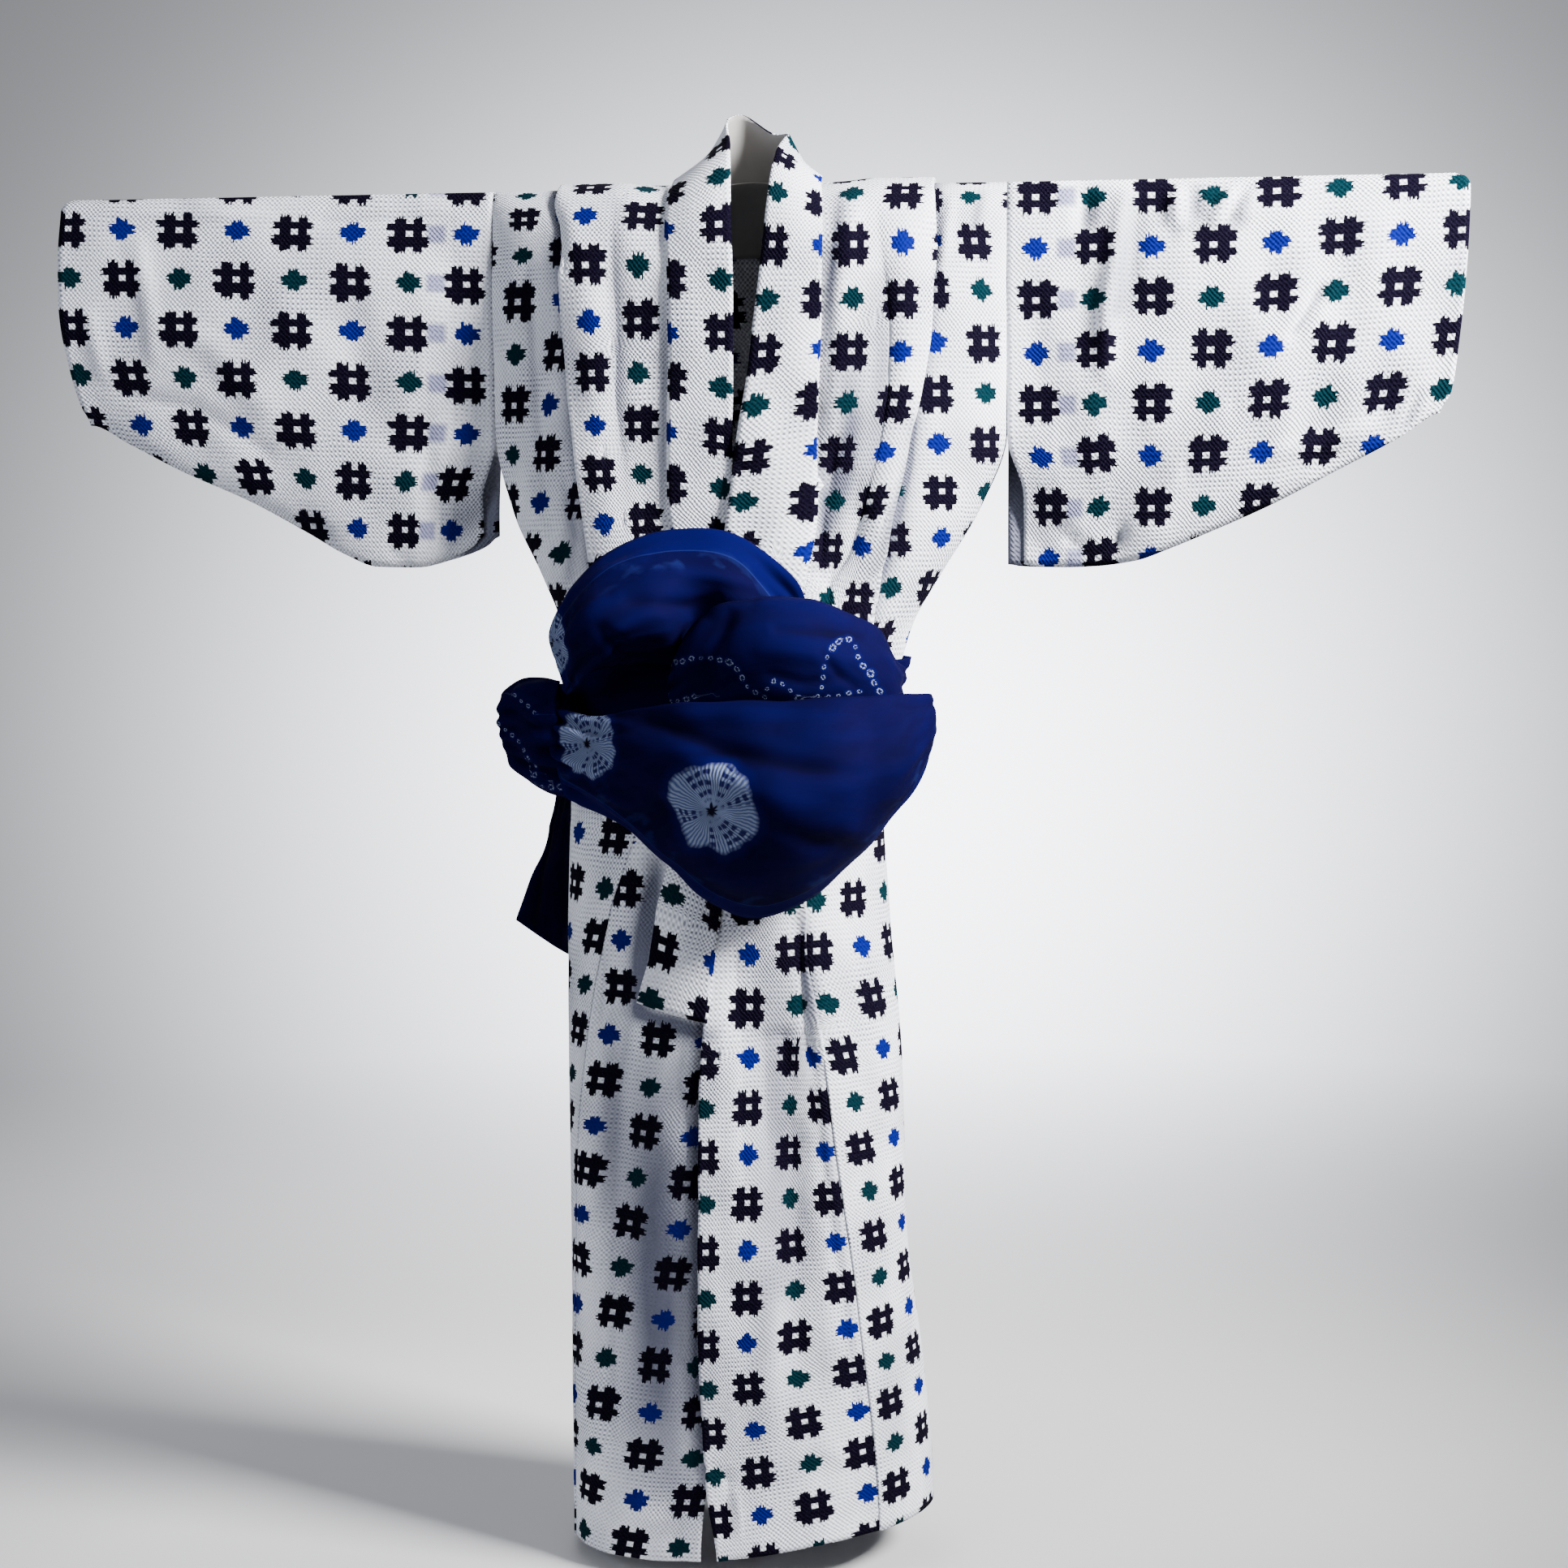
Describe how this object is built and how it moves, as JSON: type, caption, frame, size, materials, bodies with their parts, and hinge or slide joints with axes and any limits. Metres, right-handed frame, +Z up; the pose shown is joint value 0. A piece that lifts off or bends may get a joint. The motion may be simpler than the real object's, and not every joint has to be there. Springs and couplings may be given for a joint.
{
  "type": "cotton yukata robe with a soft obi, filled out with no wearer",
  "caption": "Short-sleeved wrap robe of crinkled white cotton with a dark printed check of crossed bars, belted with a soft blue sash tied in a loose bow.",
  "frame": {"origin": "the middle of the shoulder line, at the height of the sleeves' top folds, where the wearer's shoulders hold the garment up", "axes": "+Z up, -Y is the front, +X is the wearer's left"},
  "size_m": [1.324, 0.3887, 1.3526],
  "materials": {
    "printed_cotton": "crinkled white cotton, printed with dark crossed bars and small blue and teal diamonds",
    "plain_cotton": "plain white cotton",
    "dyed_obi_cloth": "thin soft royal blue cloth with white tie-dyed rings and dots"
  },
  "bodies": {
    "root": {"body_left": "printed_cotton", "body_right": "printed_cotton", "okumi_left": "printed_cotton", "okumi_right": "printed_cotton", "collar": "printed_cotton", "sleeve_left": "printed_cotton", "sleeve_right": "printed_cotton", "neck_patch": "plain_cotton", "obi_band": "dyed_obi_cloth", "obi_loop_upper": "dyed_obi_cloth", "obi_loop_right": "dyed_obi_cloth", "obi_loop_lower": "dyed_obi_cloth", "obi_knot": "dyed_obi_cloth", "obi_knot_loop": "dyed_obi_cloth", "obi_tail": "dyed_obi_cloth"}
  },
  "joints": []
}
